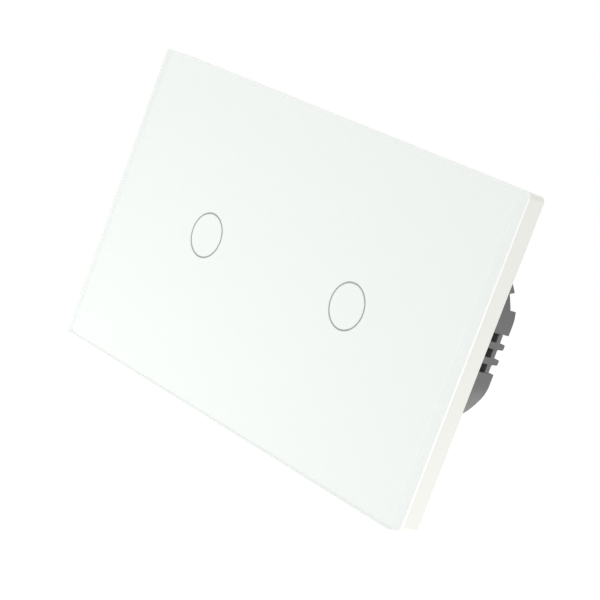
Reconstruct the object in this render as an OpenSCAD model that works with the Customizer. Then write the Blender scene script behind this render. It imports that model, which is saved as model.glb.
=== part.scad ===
// Two-gang touch light switch: a glass panel that pulls off a module fixed to the wall.
// X runs along the panel, Y goes into the wall and Z is up. The origin is the middle of the
// mounting plate's back face, which lies on the wall.

/* [Glass panel] */
// Width of the panel
panel_w = 118; // [110:0.5:130]
// Height of the panel
panel_h = 72; // [66:0.5:84]
// Radius of the panel's four corners
corner_r = 1.2; // [0.8:0.1:3]
// Thickness of the toughened glass
glass_t = 3; // [2.5:0.1:5]
// Width of the chamfer ground on the glass edges
glass_chamfer = 0.35; // [0.15:0.05:0.6]

/* [Printed sheet and touch rings] */
// Thickness of the white sheet bonded behind the glass
sheet_t = 0.2; // [0.1:0.05:0.4]
// Bare glass left between the sheet and the edge of the panel
sheet_margin = 0.3; // [0.2:0.05:0.8]
// Distance between the centres of the two touch rings
ring_spacing = 49; // [44:0.5:54]
// Diameter of a touch ring, measured to the middle of its line
ring_d = 10.2; // [8:0.1:12]
// Width of the ring's line
ring_line = 0.34; // [0.2:0.02:0.8]
// How far a diffuser disc reaches past the ring's line
diffuser_rim = 1.3; // [0.8:0.1:2]
// Thickness of a diffuser disc
diffuser_t = 0.25; // [0.15:0.05:0.5]

/* [Panel frame] */
// Depth of the frame's side wall
frame_d = 4.35; // [4:0.05:7]
// Thickness of the frame's side wall
frame_wall = 1.8; // [1.2:0.1:2.5]
// Thickness of the flange that the sheet and glass are glued to
flange_t = 1.1; // [0.8:0.1:1.4]
// Width of that flange on the panel's two short sides
flange_side = 7; // [5:0.5:10]
// Gap between the frame's back edge and the wall
wall_gap = 0.15; // [0.1:0.05:0.8]
// Thickness of the gussets between flange and side wall
gusset_t = 1; // [0.8:0.1:1.5]
// Number of gussets along a long side
gussets_long = 8; // [4:1:12]
// Number of gussets along a short side
gussets_short = 5; // [3:1:8]
// Distance of each snap hook from the middle of the panel
hook_x = 28; // [20:0.5:34]
// Width of a snap hook
hook_w = 8; // [5:0.5:12]
// Thickness of a snap hook
hook_t = 1.2; // [0.9:0.1:1.6]
// How far a hook's nose stands out of the hook
hook_nose = 0.45; // [0.3:0.05:0.7]
// How far a hook reaches behind the mounting plate
hook_reach = 2; // [1.6:0.1:3]
// Length of the pry slot in the frame's bottom edge
pry_l = 8; // [5:0.5:12]
// Depth of the pry slot
pry_d = 1; // [0.6:0.1:1.6]

/* [Mounting plate] */
// Thickness of the steel plate
plate_t = 1.2; // [0.8:0.1:1.5]
// Radius of the plate's corners
plate_r = 3; // [1.5:0.5:5]
// Gap between the plate and the frame's wall, left and right
plate_gap_x = 2.7; // [2:0.1:4]
// Gap between the plate and the frame's wall, above and below
plate_gap_z = 3.2; // [2.5:0.1:4.5]
// How far the stiffening lips stand forward of the plate
lip_h = 1.9; // [1:0.1:2]
// Distance of the lips' ends from the plate's ends
lip_end = 9; // [6:0.5:14]
// Distance between the two wall fixing slots
fix_spacing = 84; // [83:0.1:86]
// Width of a fixing slot
fix_w = 4.2; // [3.8:0.1:4.6]
// Length of a fixing slot from end to end
fix_l = 6; // [5:0.2:6]
// Distance of the plate's window from the housing's ends
window_in_x = 15; // [13:0.5:18]
// Distance of the plate's window from the housing's top and bottom
window_in_z = 5; // [4:0.5:7]

/* [Front carrier and touch board] */
// How far the carrier stands past the housing, above and below
carrier_over = 3; // [2:0.5:5]
// How far the carrier stops short of the housing's ends
carrier_in = 1.6; // [1.4:0.1:2.5]
// Radius of the carrier's corners
carrier_r = 4; // [2:0.5:6]
// Thickness of the carrier's rim
carrier_rim = 2; // [1.4:0.1:3]
// Thickness of the touch board
board_t = 1.2; // [0.8:0.1:1.6]
// Gap round the touch board in its carrier
board_gap = 0.25; // [0.15:0.05:0.4]
// Gap between the diffuser discs and the touch board
touch_gap = 0.25; // [0.2:0.05:0.4]
// Diameter of the heat stakes that hold the touch board
stake_d = 2; // [1.5:0.1:2.5]
// Distance of the heat stakes from the touch board's edges
stake_in = 3; // [2.5:0.1:4]
// Diameter of a copper touch pad
pad_d = 16; // [12:0.5:20]
// Thickness of a copper touch pad
pad_t = 0.07; // [0.05:0.01:0.1]
// Diameter of the hole in the touch board for an indicator
led_hole = 2.4; // [2:0.1:3]

/* [Rear housing] */
// Width of the housing
housing_w = 77.9; // [74:0.1:78]
// Height of the housing
housing_h = 38; // [36:0.5:44]
// Depth of the housing behind the wall surface
housing_d = 29.3; // [28.5:0.1:36]
// Radius of the housing's corners, seen from behind
housing_r = 13.6; // [11:0.1:14]
// Thickness of the housing's walls
housing_wall = 1.8; // [1.4:0.1:2.4]
// Height of the flat land at each end of the housing
housing_land = 18.2; // [16:0.2:20]
// Radius of the bends beside the flat lands
bend_r = 8; // [4:0.5:10]
// Direction of the housing screws from the centres of the corners, in degrees
screw_angle = 28; // [24:1:34]
// Distance of a housing screw from the housing's outer face
screw_edge = 3.4; // [3.3:0.1:3.6]
// Diameter of a housing screw
screw_d = 2.5; // [2.2:0.1:3]
// Diameter of a housing screw's head
screw_head_d = 4.4; // [4:0.1:4.6]
// Height of a housing screw's head
screw_head_h = 1.5; // [1.2:0.1:1.7]
// Diameter of the pillars round the housing screws
pillar_d = 7.2; // [7:0.2:8]
// Diameter of the pocket for a housing screw's head
pocket_d = 5; // [4.8:0.1:5.2]
// Width of the groove that opens a screw pocket to the housing's corner
groove_w = 4.2; // [3:0.1:5]

/* [Power board] */
// Distance of the power board from the wall surface
power_y = 8; // [7:0.5:10]
// Thickness of the power board
power_t = 1.6; // [1:0.1:2]
// Gap between the power board and the housing
power_gap = 0.4; // [0.3:0.1:0.8]
// Distance of the board's posts from the housing's ends
post_in_x = 9.3; // [8.5:0.1:11]
// Distance of the board's posts from the housing's top and bottom
post_in_z = 8; // [7:0.5:9]
// Diameter of a post
post_d = 5.6; // [5:0.2:6.4]
// Diameter of a board screw
board_screw_d = 2.2; // [2:0.1:2.5]
// Length of a board screw below its head
board_screw_l = 7; // [5:0.5:9]
// Diameter of a board screw's head
board_head_d = 4.2; // [3.8:0.1:4.6]
// Height of a board screw's head
board_head_h = 1.4; // [1:0.1:1.6]
// Length of a relay
relay_l = 18.4; // [15:0.1:20]
// Height of a relay above the board
relay_h = 15.3; // [12:0.1:16.5]
// Thickness of a relay
relay_t = 10.2; // [8:0.1:11]
// Length of the film capacitor
film_l = 18; // [13:0.5:20]
// Height of the film capacitor above the board
film_h = 14; // [10:0.5:16]
// Thickness of the film capacitor
film_t = 8; // [5:0.5:10]
// Diameter of the electrolytic capacitor
electro_d = 10; // [8:0.5:10]
// Height of the electrolytic capacitor above the board
electro_h = 16; // [11:0.5:17]
// Diameter of the varistor disc
varistor_d = 9; // [7:0.5:10]
// Thickness of the varistor disc
varistor_t = 4; // [3:0.1:5]
// Diameter of the fuse
fuse_d = 3.6; // [3:0.1:5]
// Length of the fuse
fuse_l = 10; // [8:0.5:12]
// Gap between neighbouring components
part_gap = 1; // [0.8:0.1:1.5]

/* [Board connector] */
// Number of pins
pins = 8; // [4:1:10]
// Distance between pins
pin_pitch = 2.54; // [2:0.01:2.54]
// Side of a square pin
pin_side = 0.64; // [0.5:0.02:0.7]
// Height of the pin header's insulator
header_h = 2.5; // [2:0.1:3]
// Length of the pins inside the socket
pin_reach = 5.5; // [4:0.1:6]
// Distance of the pin row from the lower edge of the plate's window
header_edge = 3; // [2.5:0.1:5]

/* [Terminals] */
// Distance between neighbouring terminals
term_pitch = 3.5; // [3.5:0.01:3.8]
// Thickness of a barrier fin at its root
fin_t = 1.5; // [1.2:0.05:1.6]
// Thickness of a barrier fin at its tip
fin_tip = 1.25; // [0.8:0.05:1.4]
// Radius at the tips and the roots of the fins
fin_round = 0.3; // [0.2:0.05:0.35]
// Depth of the notches between the fins, and of the housing's screw pockets
notch_d = 1.85; // [1.8:0.05:2.2]
// Thickness of the bridge that a terminal screw's head bears on
bridge_t = 1.3; // [1:0.1:1.6]
// Length of the terminal block along the panel
term_l = 8; // [7.5:0.1:9]
// How far the block's shoulders reach past its sides, behind the housing's back
term_shoulder = 0.8; // [0.6:0.1:0.9]
// Thickness of the block's wall between its chambers and the housing's end wall
term_end = 0.6; // [0.5:0.1:1.2]
// Gap round the terminal block in the housing
term_gap = 0.1; // [0.05:0.05:0.2]
// Diameter of a terminal screw
clamp_screw_d = 1.6; // [1.4:0.1:1.6]
// Diameter of a terminal screw's head
clamp_head_d = 2.5; // [2.2:0.1:2.5]
// Height of a terminal screw's head
clamp_head_h = 1.1; // [0.9:0.1:1.3]
// Pitch of a terminal screw's thread
clamp_pitch = 0.35; // [0.3:0.05:0.4]
// Turns of a terminal screw from open to closed
clamp_turns = 4; // [3:0.5:4]
// Length of a wire cage along the wire
cage_l = 3.2; // [2.8:0.1:3.4]
// Thickness of a wire cage's side walls
cage_wall = 0.35; // [0.3:0.05:0.4]
// Thickness of a wire cage's threaded wall
cage_top = 1.2; // [1:0.1:1.4]
// Thickness of a wire cage's clamping wall
cage_floor = 0.8; // [0.6:0.1:1]
// Gap between a cage and the walls of its chamber
cage_gap = 0.1; // [0.08:0.02:0.15]
// Clear height for the wire when the terminal is open
wire_gap = 1.8; // [1.6:0.1:2]
// Thickness of a contact bar
bar_t = 0.8; // [0.6:0.1:1]
// Width of a contact bar
bar_w = 1.4; // [1:0.1:1.5]

/* [Hidden] */
$fn = 64;

// Overshoot of every cut, the radial gaps of a screw in its thread and in a clear hole, and the
// depth of a housing screw's head below the groove
cut = 1;
thread_gap = 0.05;
hole_gap = 0.25;
head_sink = 0.3;

// Length of a cross recess and width of its arms, as shares of the screw head
cross_arm = 0.62;
cross_blade = 0.16;

// The panel's layers, from the wall outwards
frame_back = -wall_gap;
frame_front = frame_back - frame_d;
flange_back = frame_front + flange_t;
sheet_front = frame_front - sheet_t;
glass_front = sheet_front - glass_t;
diffuser_back = frame_front + diffuser_t;
diffuser_d = ring_d + ring_line + 2 * diffuser_rim;

// The mounting plate
plate_front = -plate_t;
plate_w = panel_w - 2 * (frame_wall + plate_gap_x);
plate_h = panel_h - 2 * (frame_wall + plate_gap_z);
window_w = housing_w - 2 * window_in_x;
window_h = housing_h - 2 * window_in_z;
window_r = 3;

// The carrier, its board and the hooks that pass it
carrier_w = housing_w - 2 * carrier_in;
carrier_h = housing_h + 2 * carrier_over;
board_w = carrier_w - 2 * (carrier_rim + board_gap);
board_h = carrier_h - 2 * (carrier_rim + board_gap);
board_r = carrier_r - carrier_rim;
board_front = diffuser_back + touch_gap;
board_back = board_front + board_t;
boss_wall = 1.35;
boss_d = screw_d + 2 * boss_wall;
boss_skin = 0.5;
floor_past = 3.5;
floor_step = 1;
floor_w = ring_spacing + 2 * floor_past;
floor_h = window_h + 2 * floor_step;
hook_gap = 1.5;
hook_in = carrier_h / 2 + hook_gap;
hook_out = hook_in + hook_t;
hook_slack = 0.25;
rib_clear = 1;
rib_low = frame_d / 5;
pin_hole = pin_side * sqrt(2) + 2 * thread_gap;

// Standard packages of the indicators and of the touch chip
led_l = 3.2;
led_h = 1;
led_w = 1.6;
chip_l = 9.9;
chip_h = 1.3;
chip_w = 3.9;
chip_z = 6;
chip_legs = 8;
chip_pitch = 1.27;
leg_l = 1;
leg_t = 0.25;
leg_w = 0.4;

// The housing's inside and the places of its screws and posts
inner_w = housing_w - 2 * housing_wall;
inner_h = housing_h - 2 * housing_wall;
inner_r = housing_r - housing_wall;
inner_back = housing_d - housing_wall;
corner_x = housing_w / 2 - housing_r;
corner_z = housing_h / 2 - housing_r;
land_turn = 2 * atan((housing_land / 2 - corner_z) / housing_r);
bend_x = housing_r - bend_r;
bend_z = housing_land / 2 - corner_z - bend_r * tan(land_turn / 2);
screw_reach = housing_r - screw_edge;
screw_x = corner_x + screw_reach * cos(screw_angle);
screw_z = corner_z + screw_reach * sin(screw_angle);
seat_y = housing_d - notch_d - screw_head_h - head_sink;
post_x = housing_w / 2 - post_in_x;
post_z = housing_h / 2 - post_in_z;

// The power board and what stands on it
power_back = power_y + power_t;
parts_left = -post_x + post_d / 2 + part_gap;
parts_mid = parts_left + relay_l + part_gap;
header_z = -(window_h / 2 - header_edge);
header_w = pins * pin_pitch;
header_t = 2.5;
header_back = board_back + header_h;

// The terminals, from the back of the housing inwards
end_x = housing_w / 2;
notch_y = housing_d - notch_d;
bridge_y = notch_y - bridge_t;
tip_out = 0.25;
tip_gap = 0.2;
end_gap = 0.4;
cage_travel = clamp_pitch * clamp_turns;
cage_back = bridge_y - cage_gap - cage_travel;
thread_y = cage_back - cage_top;
screw_tip = thread_y - tip_out;
bar_back = screw_tip - tip_gap;
bar_front = bar_back - bar_t;
floor_y = bar_front - wire_gap;
cage_front = floor_y - cage_floor;
term_front = cage_front - end_gap;
cage_in_w = clamp_screw_d + 4 * thread_gap;
cage_w = cage_in_w + 2 * cage_wall;
chamber_w = cage_w + 2 * cage_gap;
chamber_l = cage_l + 2 * cage_gap;
slot_w = term_pitch - fin_t;
nose_w = 2 * term_pitch + slot_w - 2 * term_gap;
nose_x = end_x - housing_wall - term_gap;
clamp_x = nose_x - term_end - chamber_l / 2;
term_x = end_x - term_l;
term_w = 3 * term_pitch + fin_t;
shoulder_w = term_w + 2 * term_shoulder;
tail_out = 1.2;
tail_x = term_x - tail_out;
tail_solder = 1;

// Solid between two depths, with the outline drawn as seen from the front
module slab(from, to) {
    translate([0, to, 0]) rotate([90, 0, 0]) linear_extrude(to - from) children();
}

// Round bar along the depth
module rod(d, from, to) {
    translate([0, to, 0]) rotate([90, 0, 0]) cylinder(d = d, h = to - from);
}

// Profile drawn in depth and height, drawn out along the panel about its middle
module along_x(length) {
    rotate([90, 0, 90]) linear_extrude(length, center = true) children();
}

// Box given by its lowest and highest corners
module box(low, high) {
    translate(low) cube(high - low);
}

// Rectangle with round corners
module rounded(w, h, r) {
    square([w - 2 * r, h], center = true);
    square([w, h - 2 * r], center = true);
    for (x = [-1, 1], y = [-1, 1])
        translate([x * (w / 2 - r), y * (h / 2 - r)]) circle(r);
}

// Slot with round ends, along X
module slot(length, w) {
    square([length - w, w], center = true);
    for (x = [-1, 1]) translate([x * (length - w) / 2, 0]) circle(d = w);
}

// Section of a plate whose edges are chamfered front and back
module chamfered(from, to, h, c) {
    polygon([
        [from, c - h / 2], [from + c, -h / 2], [to - c, -h / 2], [to, c - h / 2],
        [to, h / 2 - c], [to - c, h / 2], [from + c, h / 2], [from, h / 2 - c]
    ]);
}

module at_rings() {
    for (x = [-1, 1]) translate([x * ring_spacing / 2, 0, 0]) children();
}

// The housing screws sit at the upper right and lower left, seen from the front
module at_screws() {
    for (s = [-1, 1]) translate([s * screw_x, 0, s * screw_z]) children();
}

// The posts of the power board sit on the other diagonal
module at_posts() {
    for (s = [-1, 1]) translate([s * post_x, 0, -s * post_z]) children();
}

module at_stakes() {
    for (s = [-1, 1])
        translate([s * (board_w / 2 - stake_in), 0, -s * (board_h / 2 - stake_in)]) children();
}

module at_pins() {
    for (i = [0 : pins - 1])
        translate([(i - (pins - 1) / 2) * pin_pitch, 0, header_z]) children();
}

module at_terminal(i) {
    translate([0, 0, (i - 2) * term_pitch]) children();
}

module glass_panel() {
    color([0.9, 0.95, 0.93, 0.5])
    intersection() {
        slab(glass_front, sheet_front) rounded(panel_w, panel_h, corner_r);
        along_x(panel_w + cut) chamfered(glass_front, sheet_front, panel_h, glass_chamfer);
        rotate([0, 90, 0])
            along_x(panel_h + cut) chamfered(glass_front, sheet_front, panel_w, glass_chamfer);
    }
}

module backing_sheet() {
    color("white")
    difference() {
        slab(sheet_front, frame_front)
            rounded(panel_w - 2 * sheet_margin, panel_h - 2 * sheet_margin, corner_r);
        at_rings() difference() {
            rod(ring_d + ring_line, sheet_front - cut, frame_front + cut);
            rod(ring_d - ring_line, sheet_front - 2 * cut, frame_front + 2 * cut);
        }
    }
}

module diffuser(side) {
    color("darkgray")
    translate([side * ring_spacing / 2, 0, 0]) rod(diffuser_d, frame_front, diffuser_back);
}

// Triangle between flange and side wall, with its right angle at the side wall's inner face
module gusset(wall, width) {
    along_x(gusset_t) polygon([
        [flange_back - flange_t / 2, wall], [frame_back - rib_low, wall],
        [flange_back, wall - width], [flange_back - flange_t / 2, wall - width]
    ]);
}

module gussets() {
    long_pitch = panel_w / gussets_long;
    short_pitch = panel_h / gussets_short;
    for (s = [0, 1], i = [0 : gussets_long - 1])
        mirror([0, 0, s]) translate([(i - (gussets_long - 1) / 2) * long_pitch, 0, 0])
            gusset(panel_h / 2 - frame_wall, plate_gap_z - rib_clear);
    for (s = [0, 1], i = [0 : gussets_short - 1])
        mirror([s, 0, 0]) translate([0, 0, (i - (gussets_short - 1) / 2) * short_pitch])
            rotate([0, 90, 0]) gusset(panel_w / 2 - frame_wall, plate_gap_x - rib_clear);
}

// Snap hook: a finger through the mounting plate with a ramped nose behind it
module hook() {
    along_x(hook_w) polygon([
        [flange_back - flange_t / 2, hook_in], [hook_reach, hook_in],
        [hook_reach, hook_out - hook_t / 2], [hook_reach - hook_t, hook_out + hook_nose],
        [hook_slack, hook_out + hook_nose], [hook_slack, hook_out],
        [flange_back - flange_t / 2, hook_out]
    ]);
}

module panel_frame() {
    color("ivory")
    difference() {
        union() {
            difference() {
                slab(frame_front, frame_back) rounded(panel_w, panel_h, corner_r);
                slab(flange_back, frame_back + cut)
                    square([panel_w - 2 * frame_wall, panel_h - 2 * frame_wall], center = true);
                slab(frame_front - cut, flange_back + cut)
                    square([panel_w - 2 * flange_side, 2 * hook_in], center = true);
            }
            gussets();
            for (s = [0, 1], x = [-1, 1])
                mirror([0, 0, s]) translate([x * hook_x, 0, 0]) hook();
        }
        translate([0, 0, -panel_h / 2 + frame_wall / 2])
            slab(frame_back - pry_d, frame_back + cut)
                square([pry_l, frame_wall + cut], center = true);
    }
}

// Lip bent forward from the plate's edge, with a round outer bend
module lip() {
    edge = plate_h / 2;
    along_x(plate_w - 2 * lip_end) {
        translate([plate_front - lip_h, edge - plate_t]) square([lip_h, plate_t]);
        intersection() {
            translate([plate_front, edge - plate_t]) circle(plate_t);
            translate([plate_front, edge - plate_t]) square(plate_t);
        }
    }
}

module mounting_plate() {
    hook_slot_w = hook_w + 4 * hook_slack;
    hook_slot_h = hook_t + hook_nose + 2 * hook_slack;
    color("silver")
    difference() {
        union() {
            slab(plate_front, 0) {
                rounded(plate_w, plate_h - 2 * plate_t, plate_r);
                square([plate_w - 2 * lip_end, plate_h - 2 * plate_t], center = true);
            }
            for (s = [0, 1]) mirror([0, 0, s]) lip();
        }
        slab(plate_front - cut, cut) {
            rounded(window_w, window_h, window_r);
            for (x = [-1, 1]) translate([x * fix_spacing / 2, 0]) slot(fix_l, fix_w);
            for (x = [-1, 1], z = [-1, 1])
                translate([x * hook_x, z * (hook_in + hook_slot_h / 2 - hook_slack)])
                    square([hook_slot_w, hook_slot_h], center = true);
        }
        at_screws() rod(screw_d + 2 * hole_gap, plate_front - cut, cut);
    }
}

module front_carrier() {
    color([0.25, 0.26, 0.27])
    difference() {
        union() {
            difference() {
                slab(board_front, plate_front) rounded(carrier_w, carrier_h, carrier_r);
                slab(board_front - cut, board_back)
                    rounded(board_w + 2 * board_gap, board_h + 2 * board_gap, board_r + board_gap);
                slab(board_back - cut, plate_front + cut) rounded(floor_w, floor_h, window_r);
            }
            at_screws() rod(boss_d, board_front, plate_front);
            at_stakes() rod(stake_d, board_front, plate_front);
        }
        at_screws() rod(screw_d + 2 * thread_gap, board_front + boss_skin, plate_front + cut);
    }
}

module touch_board() {
    color([0.1, 0.35, 0.2])
    difference() {
        slab(board_front, board_back) rounded(board_w, board_h, board_r);
        at_screws() rod(boss_d + 2 * board_gap, board_front - cut, board_back + cut);
        at_stakes() rod(stake_d + 2 * thread_gap, board_front - cut, board_back + cut);
        at_rings() rod(led_hole, board_front - cut, board_back + cut);
        at_pins() rod(pin_hole, board_front - cut, board_back + cut);
    }
}

module touch_pads() {
    color([0.85, 0.55, 0.3])
    at_rings() difference() {
        rod(pad_d, board_front - pad_t, board_front);
        rod(led_hole, board_front - cut, board_front + cut);
    }
}

// Reverse mounted indicator: its dome looks through the board's hole
module indicator_leds() {
    color([0.9, 0.9, 0.95])
    at_rings() union() {
        translate([-led_l / 2, board_back, -led_w / 2]) cube([led_l, led_h, led_w]);
        rod(led_hole - 4 * thread_gap, board_back - board_t / 2, board_back + led_h / 2);
    }
}

module touch_chip() {
    color([0.12, 0.12, 0.13])
    translate([0, board_back, chip_z]) union() {
        translate([-chip_l / 2, 0, -chip_w / 2]) cube([chip_l, chip_h, chip_w]);
        for (i = [0 : chip_legs - 1])
            translate([(i - (chip_legs - 1) / 2) * chip_pitch - leg_w / 2, 0, -chip_w / 2 - leg_l])
                cube([leg_w, leg_t, chip_w + 2 * leg_l]);
    }
}

module pin_header() {
    solder = 0.25;
    color("gold")
    union() {
        at_pins() translate([-pin_side / 2, board_front - solder, -pin_side / 2])
            cube([pin_side, header_back + pin_reach - board_front + solder, pin_side]);
        translate([-header_w / 2, board_back, header_z - header_t / 2])
            cube([header_w, header_h, header_t]);
    }
}

module socket_strip() {
    well = pin_side + 4 * thread_gap;
    color([0.15, 0.15, 0.16])
    difference() {
        translate([-header_w / 2, header_back, header_z - header_t / 2])
            cube([header_w, power_y - header_back, header_t]);
        at_pins() translate([-well / 2, header_back - cut, -well / 2])
            cube([well, pin_reach + cut + 2 * thread_gap, well]);
    }
}

module power_board() {
    tail_slot = [bar_t + 2 * hole_gap, power_t + 2 * cut, bar_w + 2 * hole_gap];
    color([0.15, 0.4, 0.25])
    difference() {
        slab(power_y, power_back)
            rounded(inner_w - 2 * power_gap, inner_h - 2 * power_gap, inner_r - power_gap);
        at_screws() rod(pillar_d + 2 * power_gap, power_y - cut, power_back + cut);
        at_posts() rod(board_screw_d + 2 * hole_gap, power_y - cut, power_back + cut);
        for (i = [1 : 3]) at_terminal(i)
            translate([tail_x - hole_gap, power_y - cut, -tail_slot[2] / 2]) cube(tail_slot);
    }
}

// Sealed relay: a box with bevelled top edges, standing on the power board
module relay(side) {
    bevel = 0.6;
    top = power_back + relay_h;
    color([0.16, 0.17, 0.2])
    translate([parts_left + relay_l / 2, 0, side * (relay_t + part_gap) / 2])
    intersection() {
        along_x(relay_l) chamfered(power_back - bevel, top, relay_t, bevel);
        rotate([0, 90, 0]) along_x(relay_t) chamfered(power_back - bevel, top, relay_l, bevel);
        slab(power_back, top) square([relay_l, relay_t], center = true);
    }
}

module film_capacitor() {
    film_r = 1;
    color("goldenrod")
    translate([parts_mid + film_l / 2, 0, (part_gap + film_t) / 2])
        slab(power_back, power_back + film_h) rounded(film_l, film_t, film_r);
}

// Can with a rolled groove near its foot
module electrolytic_capacitor() {
    groove = 0.4;
    groove_y = 2.5;
    color([0.2, 0.22, 0.3])
    translate([parts_mid + electro_d / 2, power_back, -part_gap / 2 - electro_d / 2])
    rotate([-90, 0, 0]) rotate_extrude() difference() {
        square([electro_d / 2, electro_h]);
        translate([electro_d / 2, groove_y]) circle(groove);
    }
}

// Lacquered disc standing on edge, with a rounded rim
module varistor() {
    rim = varistor_t / 3;
    color([0.2, 0.35, 0.65])
    translate([
        parts_mid + electro_d + part_gap + varistor_d / 2,
        power_back + varistor_d / 2,
        -part_gap / 2 - varistor_t
    ])
    rotate_extrude() {
        square([varistor_d / 2 - rim, varistor_t]);
        translate([0, rim]) square([varistor_d / 2, varistor_t - 2 * rim]);
        for (z = [rim, varistor_t - rim]) translate([varistor_d / 2 - rim, z]) circle(rim);
    }
}

// Ceramic tube between two caps, lying on the power board
module fuse() {
    cap_l = 2;
    cap_step = 0.15;
    body_d = fuse_d - 2 * cap_step;
    low_z = -part_gap / 2 - varistor_t - part_gap - fuse_d / 2;
    color("linen")
    translate([parts_mid + electro_d + part_gap, power_back + fuse_d / 2, low_z])
    rotate([0, 90, 0]) union() {
        cylinder(d = body_d, h = fuse_l);
        for (x = [0, fuse_l - cap_l]) translate([0, 0, x]) cylinder(d = fuse_d, h = cap_l);
    }
}

// Pan headed screws through the power board into the posts
module board_screws() {
    color("silver")
    at_posts() difference() {
        union() {
            rod(board_screw_d, power_y - board_head_h / 2, power_y + board_screw_l);
            rod(board_head_d, power_y - board_head_h, power_y);
        }
        cross(power_y - board_head_h, board_head_d, board_head_h / 2, -1);
    }
}

// Cross recess in a screw head whose top is at the depth given, cut the way that points inwards
module cross(top, head_d, depth, way) {
    arm = head_d * cross_arm;
    blade = head_d * cross_blade;
    low = way > 0 ? top - depth : top - cut;
    for (turn = [0, 90]) rotate([0, turn, 0])
        translate([-arm / 2, low, -blade / 2]) cube([arm, depth + cut, blade]);
}

// Outline of the tub: round corners, and a flat land at each end that runs off them along tangents,
// over a round bend
module tub_outline() {
    rounded(housing_w, housing_h, housing_r);
    for (x = [0, 1], z = [0, 1]) mirror([x, 0, 0]) mirror([0, z, 0]) translate([corner_x, corner_z]) {
        polygon([
            [0, 0], [housing_r, 0], [housing_r, bend_z], [bend_x, bend_z],
            [bend_x + bend_r * cos(land_turn), bend_z + bend_r * sin(land_turn)],
            [housing_r * cos(land_turn), housing_r * sin(land_turn)]
        ]);
        translate([bend_x, bend_z]) circle(bend_r);
    }
}

module tub() {
    slab(0, housing_d) tub_outline();
}

// Outside of the terminal block, grown by a gap and drawn out past the housing's faces: its back
// and its narrow nose fill cut-outs in the housing, and the shoulders bear on the walls' inside
module terminal_solid(gap, past) {
    low = [term_x - gap, term_front - gap, 0];
    side = [0, 0, gap];
    box(low - side - [0, 0, term_w / 2], side + [nose_x + gap, housing_d + past, term_w / 2]);
    box(low - side - [0, 0, nose_w / 2], side + [end_x + past, housing_d + past, nose_w / 2]);
    box(
        low - side - [0, 0, shoulder_w / 2],
        side + [nose_x + gap, inner_back - term_gap + gap, shoulder_w / 2]
    );
}

module rear_housing() {
    color([0.46, 0.46, 0.45])
    difference() {
        union() {
            difference() {
                tub();
                slab(-cut, inner_back) rounded(inner_w, inner_h, inner_r);
            }
            intersection() {
                tub();
                at_screws() rod(pillar_d, 0, housing_d);
            }
            at_posts() rod(post_d, power_back, inner_back + housing_wall / 2);
        }
        at_screws() {
            rod(screw_d + 2 * hole_gap, -cut, housing_d);
            rod(pocket_d, seat_y, housing_d + cut);
        }
        for (turn = [0, 180]) rotate([0, turn, 0]) translate([screw_x, 0, screw_z])
            rotate([0, -screw_angle, 0])
                box([0, notch_y, -groove_w / 2], [housing_r, housing_d + cut, groove_w / 2]);
        at_posts()
            rod(board_screw_d + 2 * thread_gap, power_back - cut, power_y + board_screw_l + cut);
        terminal_solid(term_gap, cut);
    }
}

// Long screws from the housing's pockets into the carrier's bosses
module housing_screws() {
    tip = board_front + 2 * boss_skin;
    color("silver")
    at_screws() difference() {
        union() {
            rod(screw_d, tip, seat_y);
            rod(screw_head_d, seat_y, seat_y + screw_head_h);
        }
        cross(seat_y + screw_head_h, screw_head_d, screw_head_h / 2, 1);
    }
}

// What one terminal cuts out of the block: the notch between its fins, the pocket and hole of its
// screw, the chamber of its cage, the wire's way in and the contact bar's way out
module terminal_cuts() {
    mouth = term_pitch - fin_tip;
    head_pocket = clamp_head_d + 2 * hole_gap;
    translate([(clamp_x + end_x + cut) / 2, 0, 0]) along_x(end_x + cut - clamp_x)
        offset(r = -fin_round) offset(delta = fin_round)
        offset(r = fin_round) offset(delta = -fin_round) polygon([
            [notch_y, -slot_w / 2], [housing_d, -mouth / 2], [housing_d, -term_pitch / 2],
            [housing_d + cut, -term_pitch / 2], [housing_d + cut, term_pitch / 2],
            [housing_d, term_pitch / 2], [housing_d, mouth / 2], [notch_y, slot_w / 2]
        ]);
    translate([clamp_x, 0, 0]) {
        rod(head_pocket, notch_y, housing_d + cut);
        rod(clamp_screw_d + 4 * thread_gap, bridge_y - cut, notch_y + cut);
        box(
            [-chamber_l / 2, term_front - cut, -chamber_w / 2],
            [chamber_l / 2, bridge_y, chamber_w / 2]
        );
    }
    box([clamp_x, floor_y, -slot_w / 2], [end_x + cut, bridge_y, slot_w / 2]);
    box([term_x - cut, bar_front, -bar_w / 2], [clamp_x, bar_back, bar_w / 2]);
}

module terminal_block() {
    color([0.44, 0.44, 0.43])
    difference() {
        terminal_solid(0, 0);
        for (i = [1 : 3]) at_terminal(i) terminal_cuts();
    }
}

// Brass strip through the cage, with a tail down to the power board
module contact_bar(i) {
    color("peru")
    at_terminal(i) {
        box([tail_x, bar_front, -bar_w / 2], [clamp_x + cage_l / 2, bar_back, bar_w / 2]);
        box([tail_x, power_y - tail_solder, -bar_w / 2], [tail_x + bar_t, bar_back, bar_w / 2]);
    }
}

// Rising cage: a square loop round the wire and the contact bar, threaded on its screw
module wire_cage(i) {
    color("silver")
    at_terminal(i) translate([clamp_x, 0, 0]) difference() {
        box([-cage_l / 2, cage_front, -cage_w / 2], [cage_l / 2, cage_back, cage_w / 2]);
        box([-cage_l, floor_y, -cage_in_w / 2], [cage_l, thread_y, cage_in_w / 2]);
        rod(clamp_screw_d + 2 * thread_gap, thread_y - cut, cage_back + cut);
    }
}

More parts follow.
